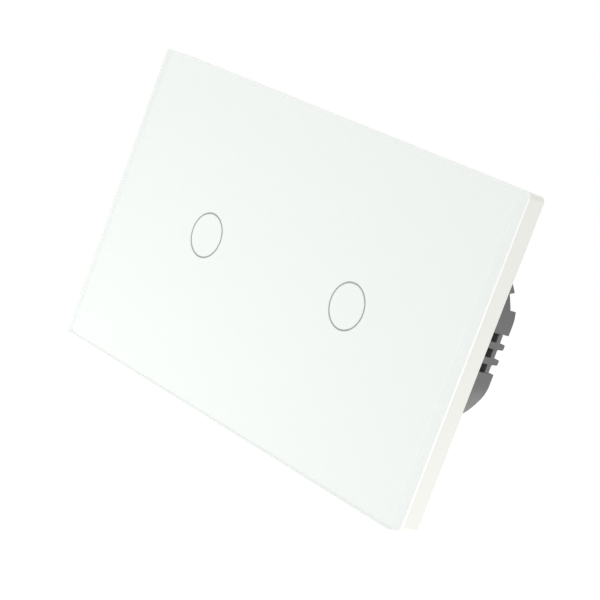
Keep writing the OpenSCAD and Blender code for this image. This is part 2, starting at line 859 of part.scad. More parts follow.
// Captive terminal screw with a slotted head
module terminal_screw(i) {
    blade = 0.5;
    head_back = notch_y + thread_gap + clamp_head_h;
    color("gainsboro")
    at_terminal(i) translate([clamp_x, 0, 0]) difference() {
        union() {
            rod(clamp_screw_d, screw_tip, notch_y + clamp_head_h / 2);
            rod(clamp_head_d, notch_y + thread_gap, head_back);
        }
        translate([-clamp_head_d, head_back - clamp_head_h / 2, -blade / 2])
            cube([2 * clamp_head_d, clamp_head_h, blade]);
    }
}

glass_panel();
backing_sheet();
diffuser(-1);  // diffuser_left
diffuser(1);  // diffuser_right
panel_frame();
mounting_plate();
front_carrier();
touch_board();
touch_pads();
indicator_leds();
touch_chip();
pin_header();
socket_strip();
power_board();
relay(-1);  // relay_left
relay(1);  // relay_right
film_capacitor();
electrolytic_capacitor();
varistor();
fuse();
board_screws();
rear_housing();
housing_screws();
terminal_block();
contact_bar(1);  // contact_bar_1
contact_bar(2);  // contact_bar_2
contact_bar(3);  // contact_bar_3
wire_cage(1);  // wire_cage_1
wire_cage(2);  // wire_cage_2
wire_cage(3);  // wire_cage_3
terminal_screw(1);  // terminal_screw_1
terminal_screw(2);  // terminal_screw_2
terminal_screw(3);  // terminal_screw_3
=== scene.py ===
import math

import bmesh
import bpy
from mathutils import Matrix, Vector


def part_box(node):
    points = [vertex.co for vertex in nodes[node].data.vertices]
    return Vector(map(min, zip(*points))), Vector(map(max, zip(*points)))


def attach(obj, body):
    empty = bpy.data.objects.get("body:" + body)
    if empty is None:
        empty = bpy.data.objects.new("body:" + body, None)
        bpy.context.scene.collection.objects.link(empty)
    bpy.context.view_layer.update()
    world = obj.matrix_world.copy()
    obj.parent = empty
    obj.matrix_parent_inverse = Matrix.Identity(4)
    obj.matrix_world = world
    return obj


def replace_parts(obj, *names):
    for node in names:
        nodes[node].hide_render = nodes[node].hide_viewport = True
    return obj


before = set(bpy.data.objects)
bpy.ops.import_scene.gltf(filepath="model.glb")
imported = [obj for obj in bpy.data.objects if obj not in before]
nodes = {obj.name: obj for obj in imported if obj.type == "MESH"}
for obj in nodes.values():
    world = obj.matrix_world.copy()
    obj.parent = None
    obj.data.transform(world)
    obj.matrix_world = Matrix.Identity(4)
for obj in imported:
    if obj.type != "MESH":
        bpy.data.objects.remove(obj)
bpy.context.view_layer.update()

scene = bpy.context.scene
scene.view_settings.view_transform = "Standard"

# The view: a long lens stands to the right of the switch, a little above its middle, and is tilted
# so that the panel leans to the left in the picture.
lens = bpy.data.cameras.new("view")
lens.lens = 114.6708
lens.sensor_width = 36
lens.clip_start = 0.01
lens.clip_end = 30
view = bpy.data.objects.new("view", lens)
view.location = (0.298921, -0.291419, 0.045632)
view.rotation_euler = [math.radians(angle) for angle in (82.6501, -20.3282, 47.8388)]
scene.collection.objects.link(view)
scene.camera = view


# The studio: a white room with a paper floor well below the switch. Four soft square lamps stand low
# on the left of the panel, on the right for the frame's edge and the housing, below and behind the
# panel, and overhead.
def place(tree, kind, inputs=(), **settings):
    """New shader node with its settings and input values."""
    made = tree.nodes.new(kind)
    for name, value in settings.items():
        setattr(made, name, value)
    for name, value in dict(inputs).items():
        made.inputs[name].default_value = value
    return made


def join(tree, *ends):
    """Links each output to the input that follows it."""
    for start, end in zip(ends[::2], ends[1::2]):
        tree.links.new(start, end)


def reckon(tree, operation, first, second):
    """Output of a Math node on two sockets, or on a socket and a number."""
    made = place(tree, "ShaderNodeMath", operation=operation)
    for slot, value in zip(made.inputs, (first, second)):
        if isinstance(value, (int, float)):
            slot.default_value = value
        else:
            join(tree, value, slot)
    return made.outputs[0]


def seen_directly(tree):
    """1 for rays from the camera and for those off gloss or through glass, 0 for scattered light."""
    path = place(tree, "ShaderNodeLightPath")
    near = reckon(tree, "MAXIMUM", path.outputs["Is Camera Ray"], path.outputs["Is Glossy Ray"])
    return reckon(tree, "MAXIMUM", near, path.outputs["Is Transmission Ray"])


room_light, room_seen = 0.945, 1.0
room = bpy.data.worlds.new("white_room")
room.use_nodes = True
tree = room.node_tree
tree.nodes.clear()
soft = place(tree, "ShaderNodeBackground", {"Color": (1, 1, 1, 1), "Strength": room_light})
white = place(tree, "ShaderNodeBackground", {"Color": (1, 1, 1, 1), "Strength": room_seen})
either = place(tree, "ShaderNodeMixShader")
sky = place(tree, "ShaderNodeOutputWorld")
join(
    tree,
    seen_directly(tree), either.inputs["Fac"],
    soft.outputs[0], either.inputs[1],
    white.outputs[0], either.inputs[2],
    either.outputs[0], sky.inputs["Surface"],
)
scene.world = room

floor_z, floor_half, floor_lift = -0.3, 4, 0.24
paper = bpy.data.materials.new("floor_paper")
paper.use_nodes = True
tree = paper.node_tree
tree.nodes.clear()
matt = place(tree, "ShaderNodeBsdfDiffuse", {"Color": (0.85, 0.85, 0.85, 1)})
glow = place(tree, "ShaderNodeEmission", {"Color": (1, 1, 1, 1)})
both = place(tree, "ShaderNodeAddShader")
ground = place(tree, "ShaderNodeOutputMaterial")
join(
    tree,
    reckon(tree, "MULTIPLY", seen_directly(tree), floor_lift), glow.inputs["Strength"],
    matt.outputs[0], both.inputs[0],
    glow.outputs[0], both.inputs[1],
    both.outputs[0], ground.inputs["Surface"],
)
shape = bmesh.new()
bmesh.ops.create_grid(
    shape, x_segments=2, y_segments=2, size=floor_half, matrix=Matrix.Translation((0, 0, floor_z)),
)
mesh = bpy.data.meshes.new("floor")
shape.to_mesh(mesh)
shape.free()
mesh.materials.append(paper)
floor = bpy.data.objects.new("floor", mesh)
scene.collection.objects.link(floor)


def lamp(name, stand, aim, size, power):
    """Square soft lamp that looks at a point and isn't mirrored in the glass."""
    light = bpy.data.lights.new(name, "AREA")
    light.size = size
    light.energy = power
    made = bpy.data.objects.new(name, light)
    made.visible_glossy = False
    made.visible_transmission = False
    made.location = stand
    made.rotation_euler = (Vector(aim) - Vector(stand)).to_track_quat("-Z", "Y").to_euler()
    scene.collection.objects.link(made)


lamp("low_left", stand=(-0.08, -0.18, -0.16), aim=(-0.02, 0, -0.03), size=0.1, power=0.16)
lamp("right_side", stand=(0.17, 0.05, -0.19), aim=(0.05, 0.005, 0), size=0.12, power=0.28)
lamp("from_below", stand=(0.025, 0.06, -0.2), aim=(0.035, 0.015, -0.01), size=0.06, power=0.34)
lamp("overhead", stand=(0.1, 0.12, 0.35), aim=(0.03, 0, 0), size=0.2, power=0.12)


# Mounting plate: pressed from zinc plated sheet steel, with its long edges bent forward as lips. The same
# plating is on the rising cages of the terminals. Its colour is lighter along the edges: partly plating
# rubbed bright, partly painted highlight.
def finish(name):
    """New material: itself, its node tree and its shader."""
    made = bpy.data.materials.new(name)
    made.use_nodes = True
    return made, made.node_tree, made.node_tree.nodes["Principled BSDF"]


def dress(made, *names):
    """Gives CAD nodes a material."""
    for name in names:
        nodes[name].material_slots[0].material = made


def effect(name, inputs, outputs):
    """Empty shader node group with its sockets, and its two end nodes."""
    tree = bpy.data.node_groups.new(name, "ShaderNodeTree")
    for socket, kind, value in inputs:
        tree.interface.new_socket(socket, in_out="INPUT", socket_type=kind).default_value = value
    for socket, kind in outputs:
        tree.interface.new_socket(socket, in_out="OUTPUT", socket_type=kind)
    return tree, tree.nodes.new("NodeGroupInput"), tree.nodes.new("NodeGroupOutput")


def use(tree, group, **values):
    """Places an effect in a material with values of its own."""
    return place(tree, "ShaderNodeGroup", values, node_tree=group)


def put_on(tree, skin, shader):
    """Links the colour, roughness and normal of an effect to a shader."""
    for start, end in (("Colour", "Base Color"), ("Roughness", "Roughness"), ("Normal", "Normal")):
        join(tree, skin.outputs[start], shader.inputs[end])


easing, given, result = effect(
    "eased_edges",
    [("Radius", "NodeSocketFloat", 0.0002)],
    [("Normal", "NodeSocketVector"), ("Edge", "NodeSocketFloat")],
)
rounded = place(easing, "ShaderNodeBevel", samples=6)
face = place(easing, "ShaderNodeNewGeometry")
agree = place(easing, "ShaderNodeVectorMath", operation="DOT_PRODUCT")
turned = place(easing, "ShaderNodeMapRange", {"From Min": 1.0, "From Max": 0.75})
join(
    easing,
    given.outputs["Radius"], rounded.inputs["Radius"],
    rounded.outputs[0], agree.inputs[0],
    face.outputs["Normal"], agree.inputs[1],
    agree.outputs["Value"], turned.inputs["Value"],
    rounded.outputs[0], result.inputs["Normal"],
    turned.outputs[0], result.inputs["Edge"],
)

plating, given, result = effect(
    "zinc_plating",
    [("Colour", "NodeSocketColor", (0.6, 0.61, 0.62, 1)), ("Roughness", "NodeSocketFloat", 0.34)],
    [("Colour", "NodeSocketColor"), ("Roughness", "NodeSocketFloat"), ("Normal", "NodeSocketVector")],
)
edge_wear_and_highlight = 0.25
where = place(plating, "ShaderNodeTexCoord")
edges = use(plating, easing, Radius=0.00015)
flakes = place(plating, "ShaderNodeTexVoronoi", {"Scale": 620})
cloud = place(plating, "ShaderNodeTexNoise", {"Scale": 55, "Detail": 4})
drawn = place(plating, "ShaderNodeMapping", {"Scale": (30, 2600, 2600)})
lines = place(plating, "ShaderNodeTexNoise", {"Scale": 1, "Detail": 3})
flake_tone = place(plating, "ShaderNodeMapRange", {"To Min": -0.05, "To Max": 0.05})
cloud_tone = place(plating, "ShaderNodeMapRange", {"To Min": 0.88, "To Max": 1.1})
rub = place(plating, "ShaderNodeMapRange", {"To Min": -0.09, "To Max": 0.09})
tint = place(plating, "ShaderNodeHueSaturation")
dents = place(plating, "ShaderNodeBump", {"Strength": 0.25, "Distance": 0.00004})
join(
    plating,
    where.outputs["Object"], flakes.inputs["Vector"],
    where.outputs["Object"], cloud.inputs["Vector"],
    where.outputs["Object"], drawn.inputs["Vector"],
    drawn.outputs[0], lines.inputs["Vector"],
    flakes.outputs["Color"], flake_tone.inputs["Value"],
    cloud.outputs["Fac"], cloud_tone.inputs["Value"],
    lines.outputs["Fac"], rub.inputs["Value"],
    lines.outputs["Fac"], dents.inputs["Height"],
    edges.outputs["Normal"], dents.inputs["Normal"],
    given.outputs["Colour"], tint.inputs["Color"],
)
# Edges lighter and less rough: partly plating rubbed bright, partly painted highlight.
rubbed_and_highlit = reckon(plating, "MULTIPLY", edges.outputs["Edge"], edge_wear_and_highlight)
tone = reckon(plating, "ADD", flake_tone.outputs[0], cloud_tone.outputs[0])
dull = reckon(plating, "ADD", rub.outputs[0], given.outputs["Roughness"])
join(
    plating,
    reckon(plating, "ADD", tone, rubbed_and_highlit), tint.inputs["Value"],
    tint.outputs[0], result.inputs["Colour"],
    reckon(plating, "SUBTRACT", dull, rubbed_and_highlit), result.inputs["Roughness"],
    dents.outputs[0], result.inputs["Normal"],
)


def plated(name, colour, roughness):
    """Material of a zinc plated piece."""
    made, tree, shader = finish(name)
    put_on(tree, use(tree, plating, Colour=(*colour, 1), Roughness=roughness), shader)
    shader.inputs["Metallic"].default_value = 1
    return made


dress(
    plated("zinc_plated_steel", (0.6, 0.61, 0.62), 0.34),
    "mounting_plate", "wire_cage_1", "wire_cage_2", "wire_cage_3",
)

# Front carrier: a dark grey moulding that holds the touch board in a tray and is screwed to the rear
# housing through the plate. Its skin has the fine grain of a spark-eroded mould, and two heat stakes
# are pressed over into flat domes that keep the board down.
moulding, given, result = effect(
    "moulded_skin",
    [
        ("Colour", "NodeSocketColor", (0.5, 0.5, 0.5, 1)), ("Roughness", "NodeSocketFloat", 0.5),
        ("Mottle", "NodeSocketFloat", 0.06), ("Grain", "NodeSocketFloat", 5000.0),
        ("Depth", "NodeSocketFloat", 0.3), ("Wear", "NodeSocketFloat", 0.1),
    ],
    [("Colour", "NodeSocketColor"), ("Roughness", "NodeSocketFloat"), ("Normal", "NodeSocketVector")],
)
where = place(moulding, "ShaderNodeTexCoord")
edges = use(moulding, easing, Radius=0.0002)
flow = place(moulding, "ShaderNodeTexNoise", {"Scale": 70, "Detail": 5, "Roughness": 0.6})
specks = place(moulding, "ShaderNodeTexNoise", {"Detail": 2})
rub = place(moulding, "ShaderNodeMapRange", {"To Min": -0.08, "To Max": 0.08})
tint = place(moulding, "ShaderNodeHueSaturation")
pores = place(moulding, "ShaderNodeBump", {"Distance": 0.00003})
join(
    moulding,
    where.outputs["Object"], flow.inputs["Vector"],
    where.outputs["Object"], specks.inputs["Vector"],
    given.outputs["Grain"], specks.inputs["Scale"],
    specks.outputs["Fac"], rub.inputs["Value"],
    specks.outputs["Fac"], pores.inputs["Height"],
    given.outputs["Depth"], pores.inputs["Strength"],
    edges.outputs["Normal"], pores.inputs["Normal"],
    given.outputs["Colour"], tint.inputs["Color"],
)
cloudy = reckon(moulding, "ADD", flow.outputs["Fac"], specks.outputs["Fac"])
swing = reckon(moulding, "MULTIPLY", reckon(moulding, "SUBTRACT", cloudy, 1), given.outputs["Mottle"])
# Edges lighter and less rough by the Wear amount: partly wear, partly painted highlight.
worn_and_highlit = reckon(moulding, "MULTIPLY", edges.outputs["Edge"], given.outputs["Wear"])
dull = reckon(moulding, "ADD", rub.outputs[0], given.outputs["Roughness"])
join(
    moulding,
    reckon(moulding, "ADD", reckon(moulding, "ADD", swing, worn_and_highlit), 1), tint.inputs["Value"],
    tint.outputs[0], result.inputs["Colour"],
    reckon(moulding, "SUBTRACT", dull, worn_and_highlit), result.inputs["Roughness"],
    pores.outputs[0], result.inputs["Normal"],
)


def moulded(name, colour, roughness, mottle=0.06, grain=5000.0, depth=0.3, wear_and_highlight=0.1, metallic=0):
    """Material of a moulded, lacquered or pressed piece."""
    made, tree, shader = finish(name)
    skin = use(
        tree, moulding, Colour=(*colour, 1), Roughness=roughness,
        Mottle=mottle, Grain=grain, Depth=depth, Wear=wear_and_highlight,
    )
    put_on(tree, skin, shader)
    shader.inputs["Metallic"].default_value = metallic
    return made


def add_piece(name, shape, made, body):
    """New piece from a finished bmesh, with its material and body."""
    mesh = bpy.data.meshes.new(name)
    shape.to_mesh(mesh)
    shape.free()
    # A copy of a CAD mesh brings that mesh's own normals, which no longer fit it.
    if "custom_normal" in mesh.attributes:
        mesh.attributes.remove(mesh.attributes["custom_normal"])
    mesh.shade_smooth()
    mesh.set_sharp_from_angle(angle=math.radians(30))
    mesh.materials.append(made)
    piece = bpy.data.objects.new(name, mesh)
    scene.collection.objects.link(piece)
    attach(piece, body)
    return piece


def lathe(shape, centre, outline, steps=48):
    """Turned skin about an axis along Y, from points given by radius and by depth from the centre."""
    centre = Vector(centre)
    rim = [shape.verts.new(centre + Vector((radius, depth, 0))) for radius, depth in outline]
    edges = [shape.edges.new(pair) for pair in zip(rim, rim[1:])]
    bmesh.ops.spin(
        shape, geom=[*rim, *edges], cent=centre, axis=(0, 1, 0),
        angle=2 * math.pi, steps=steps, use_merge=True,
    )
    bmesh.ops.remove_doubles(shape, verts=shape.verts, dist=1e-8)


carrier_grey = moulded("carrier_grey", (0.06, 0.061, 0.063), 0.5)
dress(carrier_grey, "front_carrier")

board_low, board_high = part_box("touch_board")
board_front, board_back = board_low[1], board_high[1]
stake_inset = 0.003
stake_x, stake_z = board_high[0] - stake_inset, board_high[2] - stake_inset
stake_dome = [
    (0, -0.00034), (0.0007, -0.0003), (0.0012, -0.0002),
    (0.0015, -0.00006), (0.00152, 0.00002), (0, 0.00002),
]
shape = bmesh.new()
for side in (-1, 1):
    lathe(shape, (side * stake_x, board_front, -side * stake_z), stake_dome, steps=32)
bmesh.ops.recalc_face_normals(shape, faces=shape.faces)
add_piece("heat_stake_heads", shape, carrier_grey, "module")


# Touch board: green lacquered glass fibre board in the carrier, with the copper pads that feel a
# finger through the glass and one indicator behind the middle of each pad. Between the pads an
# earthed copper mesh shows through the lacquer.
def workings(made):
    """Node tree and shader of a material."""
    return made.node_tree, made.node_tree.nodes["Principled BSDF"]


def mix_of(tree, mask, first, second):
    """Output of a colour Mix node: a socket where the mask is 0, a colour where it is 1."""
    made = place(tree, "ShaderNodeMix", data_type="RGBA")
    # Its two colours are inputs 6 and 7, and the mixed colour is output 2.
    made.inputs[7].default_value = (*second, 1)
    join(tree, mask, made.inputs[0], first, made.inputs[6])
    return made.outputs[2]


pads_low, pads_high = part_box("touch_pads")
pad_x = pads_high[0] - (pads_high[2] - pads_low[2]) / 2
copper_green = (0.03, 0.27, 0.1)
mesh_pitch, mesh_half_line = 0.0006, 0.00011
mesh_clear_r, mesh_low_z = 0.0095, -0.004
laminate = moulded("green_lacquer", (0.012, 0.13, 0.055), 0.28, mottle=0.2, grain=900.0, depth=0.1)
tree, shader = workings(laminate)
where = place(tree, "ShaderNodeTexCoord")
slant = place(tree, "ShaderNodeMapping", {"Rotation": (0, math.radians(45), 0)})
across = place(tree, "ShaderNodeSeparateXYZ")
spot = place(tree, "ShaderNodeSeparateXYZ")
facing = place(tree, "ShaderNodeSeparateXYZ")
join(
    tree,
    where.outputs["Object"], slant.inputs["Vector"],
    slant.outputs[0], across.inputs[0],
    where.outputs["Object"], spot.inputs[0],
    where.outputs["Normal"], facing.inputs[0],
)
wires = [
    reckon(tree, "LESS_THAN", reckon(tree, "PINGPONG", across.outputs[axis], mesh_pitch), mesh_half_line)
    for axis in ("X", "Z")
]
aside = reckon(tree, "SUBTRACT", reckon(tree, "ABSOLUTE", spot.outputs["X"], 0), pad_x)
pad_distance_squared = reckon(
    tree, "ADD",
    reckon(tree, "MULTIPLY", aside, aside),
    reckon(tree, "MULTIPLY", spot.outputs["Z"], spot.outputs["Z"]),
)
clear_of_pads = reckon(tree, "GREATER_THAN", pad_distance_squared, mesh_clear_r ** 2)
above_tracks = reckon(tree, "GREATER_THAN", spot.outputs["Z"], mesh_low_z)
on_front = reckon(tree, "LESS_THAN", facing.outputs["Y"], -0.5)
mesh_mask = reckon(
    tree, "MULTIPLY",
    reckon(tree, "MULTIPLY", reckon(tree, "MAXIMUM", *wires), clear_of_pads),
    reckon(tree, "MULTIPLY", above_tracks, on_front),
)
lacquer = shader.inputs["Base Color"].links[0].from_socket
join(tree, mix_of(tree, mesh_mask, lacquer, copper_green), shader.inputs["Base Color"])
dress(laminate, "touch_board")
dress(
    moulded("pad_copper", (0.72, 0.38, 0.22), 0.34, mottle=0.2, grain=2500.0, depth=0.15, metallic=1),
    "touch_pads",
)
dress(
    moulded("indicator_epoxy", (0.82, 0.82, 0.76), 0.15, mottle=0.04, grain=2000.0, depth=0.05),
    "indicator_leds",
)

# Solder joints: tin solder that holds the connector's pins in the touch board. Each pin comes through
# the board and ends in a flat cone on its front.
pins_low, pins_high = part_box("pin_header")
pin_z = (pins_low[2] + pins_high[2]) / 2
pin_pitch, pin_count = 0.00254, 8
pin_x = [(i - (pin_count - 1) / 2) * pin_pitch for i in range(pin_count)]
solder_cone = [
    (0, 0.00002), (0.00078, 0.00002), (0.00076, -0.00002), (0.00058, -0.00007),
    (0.00046, -0.00014), (0.0004, -0.0002), (0, -0.00022),
]
tin = moulded("tin_solder", (0.66, 0.66, 0.64), 0.22, mottle=0.2, grain=1800.0, depth=0.2, metallic=1)
shape = bmesh.new()
for x in pin_x:
    lathe(shape, (x, board_front, pin_z), solder_cone, steps=20)
bmesh.ops.recalc_face_normals(shape, faces=shape.faces)
add_piece("solder_joints", shape, tin, "module")

# Board tracks: etched copper under the lacquer, from each pad down to the nearest pin. The two
# stretches of a track meet in a round via.
track_w, track_t, via_d = 0.0005, 0.00004, 0.0011
bend_inset, slope_reach = 0.011, 0.0058
via_button = [
    (0, -track_t), (via_d * 0.42, -track_t), (via_d / 2, -track_t * 0.6), (via_d / 2, track_t), (0, track_t),
]
track_green = moulded("lacquered_track", copper_green, 0.28, mottle=0.1, grain=900.0, depth=0.1)
shape = bmesh.new()
for side in (-1, 1):
    bend = Vector((side * (pad_x - bend_inset), board_front, pin_z))
    pad_end = bend + Vector((side, 0, 1)) * slope_reach
    pin_end = Vector((side * abs(pin_x[0]), board_front, pin_z))
    for end in (pad_end, pin_end):
        run = end - bend
        turn = Matrix.Rotation(-math.atan2(run.z, run.x), 4, "Y")
        stretch = Matrix.Diagonal((run.length - track_w, track_t, track_w, 1))
        middle = Matrix.Translation((bend + end + run.normalized() * track_w) / 2)
        strip = bmesh.ops.create_cube(shape, size=1, matrix=middle @ turn @ stretch)["verts"]
        bmesh.ops.bevel(
            shape, geom=list({edge for vert in strip for edge in vert.link_edges}),
            offset=track_t / 3, segments=1, profile=0.5, affect="EDGES", material=-1,
        )
    lathe(shape, bend, via_button, steps=24)
bmesh.ops.recalc_face_normals(shape, faces=shape.faces)
add_piece("board_tracks", shape, track_green, "module")


# Touch chip and connector: an epoxy chip with tinned legs, and a strip of gilt pins in a black body
# that plugs into the socket on the power board.
def close_to(tree, value, middle, reach):
    """1 where a value lies within reach of a number, 0 elsewhere."""
    made = place(tree, "ShaderNodeMath", operation="COMPARE")
    made.inputs[1].default_value = middle
    made.inputs[2].default_value = reach
    join(tree, value, made.inputs[0])
    return made.outputs[0]


def within(tree, axis, low, high):
    """1 where the piece's coordinate on an axis lies between two values, 0 elsewhere."""
    where = place(tree, "ShaderNodeTexCoord")
    parts = place(tree, "ShaderNodeSeparateXYZ")
    join(tree, where.outputs["Object"], parts.inputs[0])
    return close_to(tree, parts.outputs[axis], (low + high) / 2, (high - low) / 2)


def metal_outside(made, axis, low, high, colour):
    """Bare metal in place of a material's moulded skin outside a band along one axis."""
    tree, shader = workings(made)
    bare = reckon(tree, "SUBTRACT", 1, within(tree, axis, low, high))
    skin = shader.inputs["Base Color"].links[0].from_socket
    join(
        tree,
        mix_of(tree, bare, skin, colour), shader.inputs["Base Color"],
        bare, shader.inputs["Metallic"],
    )


chip_low, chip_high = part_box("touch_chip")
chip_leg, header_body = 0.00101, 0.0025
chip_black = moulded("chip_epoxy", (0.02, 0.02, 0.022), 0.4, grain=4000.0)
metal_outside(chip_black, "Z", chip_low[2] + chip_leg, chip_high[2] - chip_leg, (0.62, 0.62, 0.6))
dress(chip_black, "touch_chip")
header_black = moulded("header_pins", (0.02, 0.02, 0.02), 0.32)
metal_outside(header_black, "Y", board_back, board_back + header_body, (0.83, 0.62, 0.25))
dress(header_black, "pin_header")
dress(moulded("socket_black", (0.02, 0.02, 0.02), 0.42), "socket_strip")

# Power board: lacquered as the touch board is. The relays, capacitors, varistor and fuse stand on it
# inside the rear housing. The fuse has nickel plated caps on its ceramic tube, and the electrolytic
# capacitor shows the end of its can.
dress(
    moulded("power_board_lacquer", (0.01, 0.11, 0.045), 0.3, mottle=0.25, grain=900.0, depth=0.1),
    "power_board",
)
dress(moulded("relay_case", (0.03, 0.033, 0.04), 0.4), "relay_left", "relay_right")
dress(moulded("film_capacitor_yellow", (0.62, 0.42, 0.06), 0.35), "film_capacitor")
dress(moulded("varistor_lacquer", (0.02, 0.1, 0.35), 0.25, grain=1200.0, depth=0.2), "varistor")

can_low, can_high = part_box("electrolytic_capacitor")
can_end = 0.0003
sleeve = moulded("capacitor_sleeve", (0.02, 0.03, 0.08), 0.22, depth=0.08)
metal_outside(sleeve, "Y", can_low[1], can_high[1] - can_end, (0.6, 0.6, 0.6))
dress(sleeve, "electrolytic_capacitor")

fuse_low, fuse_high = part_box("fuse")
fuse_cap = 0.002
ceramic = moulded("fuse_ceramic", (0.72, 0.68, 0.58), 0.35)
metal_outside(ceramic, "X", fuse_low[0] + fuse_cap, fuse_high[0] - fuse_cap, (0.7, 0.68, 0.63))
dress(ceramic, "fuse")

# Rear housing: a deep tub of mid grey flame-proof plastic that goes into the wall box, with the
# terminal block set into its right end. The mould's ejector pins left faint rings on its back.
tub_grey = (0.127, 0.127, 0.1265)
# The skin's lighter edges on the housing are partly wear, partly painted highlight.
tub_skin = {"mottle": 0.3, "grain": 2200.0, "depth": 0.4, "wear_and_highlight": 0.2}
housing_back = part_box("rear_housing")[1][1]
ejector_r, ejector_half_line = 0.0016, 0.00008
ejectors = (
    (-0.03, 0.011), (-0.012, -0.015), (-0.012, 0.015), (0.012, -0.015), (0.012, 0.015), (0.03, -0.011),
)
housing_grey = moulded("housing_grey", tub_grey, 0.52, **tub_skin)
tree, shader = workings(housing_grey)
where = place(tree, "ShaderNodeTexCoord")
rings = None
for x, z in ejectors:
    away = place(tree, "ShaderNodeVectorMath", operation="DISTANCE")
    away.inputs[1].default_value = (x, housing_back, z)
    join(tree, where.outputs["Object"], away.inputs[0])
    ring = close_to(tree, away.outputs["Value"], ejector_r, ejector_half_line)
    rings = ring if rings is None else reckon(tree, "MAXIMUM", rings, ring)
sunk = place(tree, "ShaderNodeBump", {"Strength": 0.6, "Distance": 0.00005}, invert=True)
skin_normal = shader.inputs["Normal"].links[0].from_socket
join(
    tree,
    rings, sunk.inputs["Height"],
    skin_normal, sunk.inputs["Normal"],
    sunk.outputs[0], shader.inputs["Normal"],
)
dress(housing_grey, "rear_housing")
dress(moulded("terminal_grey", tub_grey, 0.5, **tub_skin), "terminal_block")


# Screws: zinc plated steel, rolled and headed. Two long thread-forming ones hold the housing to the
# carrier and two short ones the power board, all with cross recesses. The three slotted ones drive
# the cages of the terminals.
def wind_thread(shape, core, crest, pitch, start, turns, steps=20):
    """Right-hand ridge wound round a core along +Y, closed at both ends."""
    # Points of the ridge's section: radius, and height as a share of the pitch.
    ridge = [
        shape.verts.new((radius, start + up * pitch, 0))
        for radius, up in ((core, 0.0), (crest, 0.36), (crest, 0.5), (core, 0.86))
    ]
    edges = [shape.edges.new((ridge[i - 1], ridge[i])) for i in range(4)]
    bmesh.ops.spin(
        shape, geom=[*ridge, *edges], cent=(0, 0, 0), axis=(0, 1, 0), angle=2 * math.pi * turns,
        steps=steps * turns, dvec=(0, pitch / steps, 0),
    )
    bmesh.ops.holes_fill(shape, edges=[edge for edge in shape.edges if edge.is_boundary], sides=4)


def screw_shaft(shaft_d, length, pitch):
    """Screw along +Y with its tip at the origin: the thread, and the points of the core's outline."""
    shape = bmesh.new()
    core, tip = shaft_d / 2 - pitch * 0.4, pitch * 0.6
    turns = int(length / pitch - 1.6)
    wind_thread(shape, core * 0.97, shaft_d / 2, pitch, tip, turns)
    return shape, [(0, 0), (core * 0.6, 0), (core, tip), (core, length)]


def of_kind(items, kind):
    """Those of an operator's results that are of one kind."""
    return [item for item in items if isinstance(item, kind)]


def cross_screw(shaft_d, length, head_d, head_h, pitch):
    """Pan headed screw with a cross recess."""
    shape, outline = screw_shaft(shaft_d, length, pitch)
    top, arm, blade = length + head_h, head_d * 0.31, head_d * 0.075
    rim, flank = arm * 1.15, head_d / 2
    outline += [(flank * 0.96, length), (flank, length + head_h * 0.08)]
    for i in range(7):
        turn = math.radians(15 * i)
        radius = rim + (flank - rim) * math.cos(turn)
        outline.append((radius, length + head_h * (0.4 + 0.6 * math.sin(turn))))
    lathe(shape, (0, 0, 0), outline)
    mouth = [edge for edge in shape.edges if edge.is_boundary]
    corners = []
    for quarter in range(4):
        turn = Matrix.Rotation(math.radians(90 * quarter), 3, "Y")
        for x, z in ((arm, blade), (arm, -blade), (blade, -blade)):
            corners.append(shape.verts.new(turn @ Vector((x, top, z))))
    cross = [shape.edges.new((corners[i - 1], corners[i])) for i in range(12)]
    bmesh.ops.bridge_loops(shape, edges=[*mouth, *cross])
    walls = bmesh.ops.extrude_edge_only(shape, edges=cross)["geom"]
    low = of_kind(walls, bmesh.types.BMVert)
    bmesh.ops.scale(shape, verts=low, vec=(0.62, 1, 0.62))
    bmesh.ops.translate(shape, verts=low, vec=(0, -head_h * 0.62, 0))
    bottom = [edge for edge in of_kind(walls, bmesh.types.BMEdge) if edge.is_boundary]
    bmesh.ops.contextual_create(shape, geom=bottom)
    bmesh.ops.recalc_face_normals(shape, faces=shape.faces)
    return shape


def slotted_screw(shaft_d, length, head_d, head_h, pitch, blade, depth):
    """Flat headed screw with a slot: a disc, and two halves that stand on it."""
    shape, outline = screw_shaft(shaft_d, length, pitch)
    step, flank, sunk = length + head_h - depth, head_d / 2, depth * 0.04
    outline += [(flank * 0.95, length), (flank, length + head_h * 0.08), (flank, step), (0, step)]
    lathe(shape, (0, 0, 0), outline)
    lie = Matrix.Translation((0, step - sunk, 0)) @ Matrix.Rotation(math.radians(-90), 4, "X")
    for side in (-1, 1):
        disc = bmesh.ops.create_circle(shape, cap_ends=True, segments=48, radius=flank, matrix=lie)["verts"]
        disc_edges = {edge for vert in disc for edge in vert.link_edges}
        disc_faces = {face for vert in disc for face in vert.link_faces}
        kept = bmesh.ops.bisect_plane(
            shape, geom=[*disc, *disc_edges, *disc_faces],
            plane_co=(0, 0, side * blade / 2), plane_no=(0, 0, side), clear_inner=True,
        )["geom"]
        half = of_kind(kept, bmesh.types.BMFace)
        raised = bmesh.ops.extrude_face_region(shape, geom=half, use_keep_orig=True)["geom"]
        bmesh.ops.translate(shape, verts=of_kind(raised, bmesh.types.BMVert), vec=(0, depth + sunk, 0))
        tops = of_kind(raised, bmesh.types.BMFace)
        bmesh.ops.bevel(
            shape, geom=list({edge for top in tops for edge in top.edges}),
            offset=head_h * 0.1, segments=2, profile=0.5, affect="EDGES", material=-1,
        )
    bmesh.ops.recalc_face_normals(shape, faces=shape.faces)
    return shape


def gather(shape, made, matrix):
    """Adds a moved copy of one shape to another."""
    copy = bpy.data.meshes.new("copy")
    made.to_mesh(copy)
    copy.transform(matrix)
    shape.from_mesh(copy)
    bpy.data.meshes.remove(copy)


